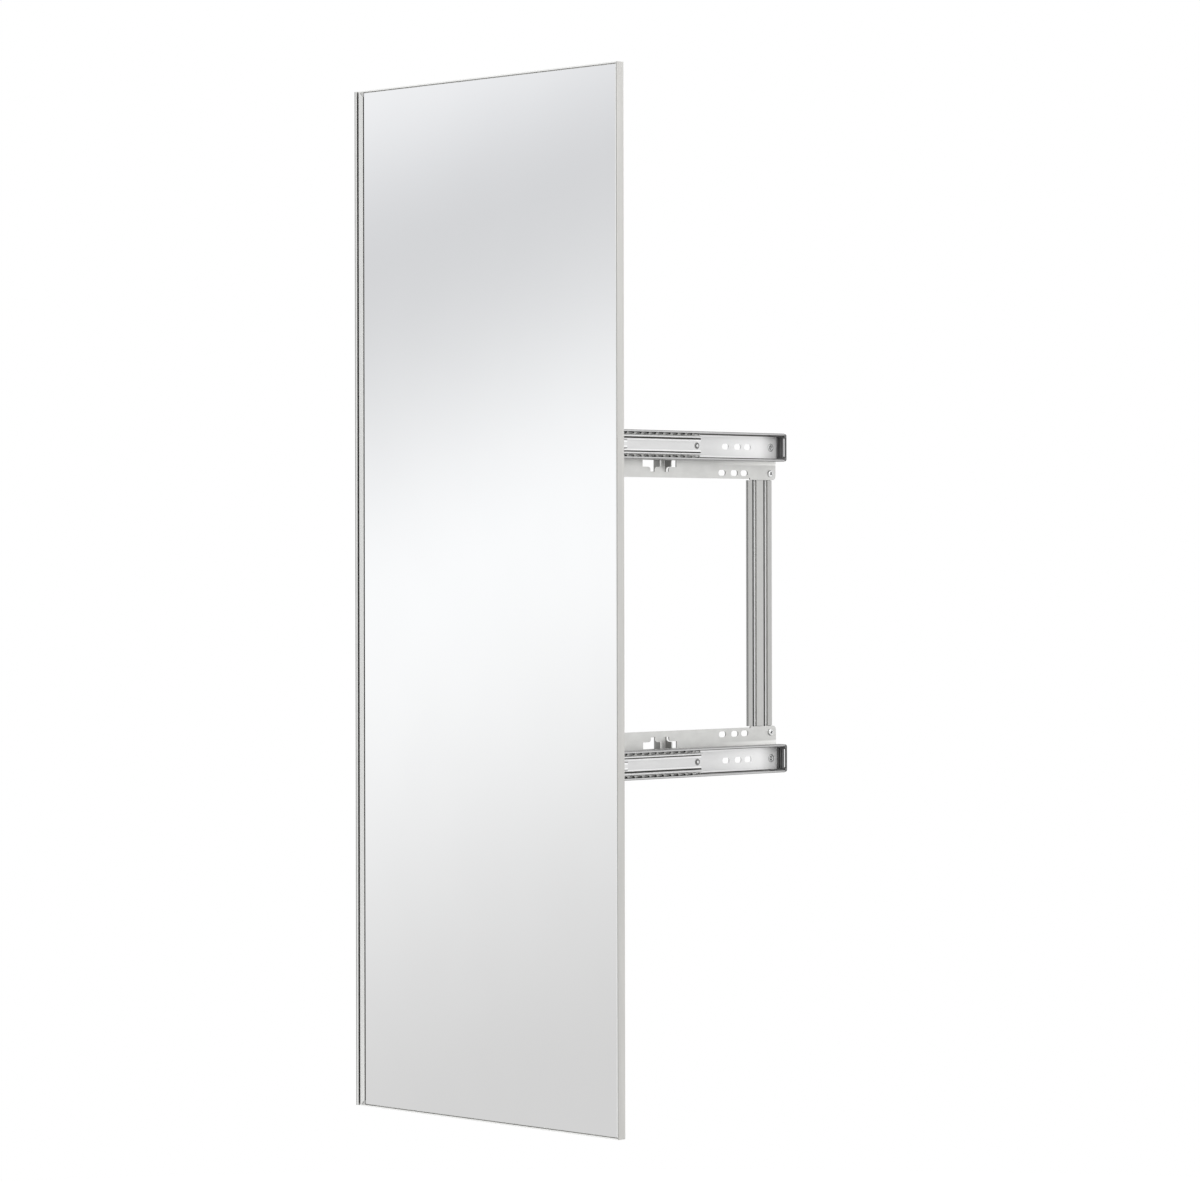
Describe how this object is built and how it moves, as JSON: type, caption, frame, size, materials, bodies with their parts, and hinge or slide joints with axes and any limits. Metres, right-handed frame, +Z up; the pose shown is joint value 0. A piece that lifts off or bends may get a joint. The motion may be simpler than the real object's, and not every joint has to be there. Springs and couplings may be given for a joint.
{
  "type": "pull-out closet mirror",
  "caption": "Tall framed mirror that pulls out of a wardrobe on telescopic slides screwed to the side panel, and swivels on an upright tube to face the user.",
  "frame": {"origin": "centre of the rectangle of mounting slots, in the plane of the wardrobe's side panel", "axes": "+X out of the side panel into the wardrobe, -Y the way the mirror pulls out, +Z up"},
  "size_m": [0.366, 0.5562, 1],
  "materials": {
    "zinc_plated_sheet": "bright zinc plating, satin",
    "slide_steel": "bright zinc plating",
    "pressed_steel": "zinc plated, dull",
    "ball_steel": "polished bearing steel",
    "rivet_steel": "zinc plated",
    "screw_steel": "zinc plated",
    "upright_aluminium": "natural anodised",
    "profile_aluminium": "natural anodised, satin",
    "buffer_plastic": "moulded, fine grain",
    "insert_plastic": "moulded, light grey",
    "bush_plastic": "moulded, white",
    "tube_chrome": "bright plating",
    "diecast_grey": "grey powder coat on die-cast zinc",
    "mirror_glass": "silvered float glass",
    "board_wood": "hardboard with a pale lacquer",
    "tape_foam": "double-sided foam tape"
  },
  "bodies": {
    "wall_frame": {"upper_mounting_plate": "zinc_plated_sheet", "lower_mounting_plate": "zinc_plated_sheet", "rear_upright": "upright_aluminium", "upright_screws": "screw_steel", "upper_outer_rail": "slide_steel", "lower_outer_rail": "slide_steel", "rail_rivets": "rivet_steel", "upper_end_buffer": "buffer_plastic", "lower_end_buffer": "buffer_plastic"},
    "outer_cages": {"upper_outer_ball_cages": "pressed_steel", "lower_outer_ball_cages": "pressed_steel", "upper_outer_balls": "ball_steel", "lower_outer_balls": "ball_steel"},
    "middle_rails": {"upper_middle_rail": "slide_steel", "lower_middle_rail": "slide_steel", "middle_rail_rivets": "rivet_steel"},
    "inner_cages": {"upper_inner_ball_cages": "pressed_steel", "lower_inner_ball_cages": "pressed_steel", "upper_inner_balls": "ball_steel", "lower_inner_balls": "ball_steel"},
    "carriage": {"upper_inner_rail": "slide_steel", "lower_inner_rail": "slide_steel", "upper_pivot_bracket": "zinc_plated_sheet", "lower_pivot_bracket": "zinc_plated_sheet", "bracket_rivets": "rivet_steel", "pivot_tube": "tube_chrome", "tube_end_plugs": "bush_plastic", "tube_end_screws": "screw_steel", "stop_collar": "diecast_grey", "support_collar": "diecast_grey", "collar_set_screws": "screw_steel"},
    "mirror": {"upper_swivel_bracket": "diecast_grey", "lower_swivel_bracket": "diecast_grey", "swivel_bushes": "bush_plastic", "stop_pin": "tube_chrome", "swivel_bracket_screws": "screw_steel", "tee_nuts": "pressed_steel", "backing_board": "board_wood", "mounting_tape": "tape_foam", "corner_keys": "pressed_steel", "corner_key_screws": "screw_steel", "mirror_glass": "mirror_glass", "side_profile": "profile_aluminium", "top_profile": "profile_aluminium", "bottom_profile": "profile_aluminium", "handle_profile": "profile_aluminium", "handle_corner_inserts": "insert_plastic"}
  },
  "joints": [
    {"name": "pull_out", "type": "slide", "parent": "wall_frame", "child": "carriage", "axis": [0, 1, 0], "range_m": [0, 0.238]},
    {"name": "middle_slide", "type": "slide", "parent": "wall_frame", "child": "middle_rails", "axis": [0, 1, 0], "range_m": [0, 0.119]},
    {"name": "outer_cage_roll", "type": "slide", "parent": "wall_frame", "child": "outer_cages", "axis": [0, 1, 0], "range_m": [0, 0.0595]},
    {"name": "inner_cage_roll", "type": "slide", "parent": "wall_frame", "child": "inner_cages", "axis": [0, 1, 0], "range_m": [0, 0.1785]},
    {"name": "swivel", "type": "hinge", "parent": "carriage", "child": "mirror", "pos_m": [0.027, -0.3705, 0], "axis": [0, 0, 1], "range_deg": [0, 90]}
  ],
  "couplings": [
    {"joint": "middle_slide", "follows": "pull_out", "ratio": 0.5},
    {"joint": "outer_cage_roll", "follows": "pull_out", "ratio": 0.25},
    {"joint": "inner_cage_roll", "follows": "pull_out", "ratio": 0.75}
  ]
}
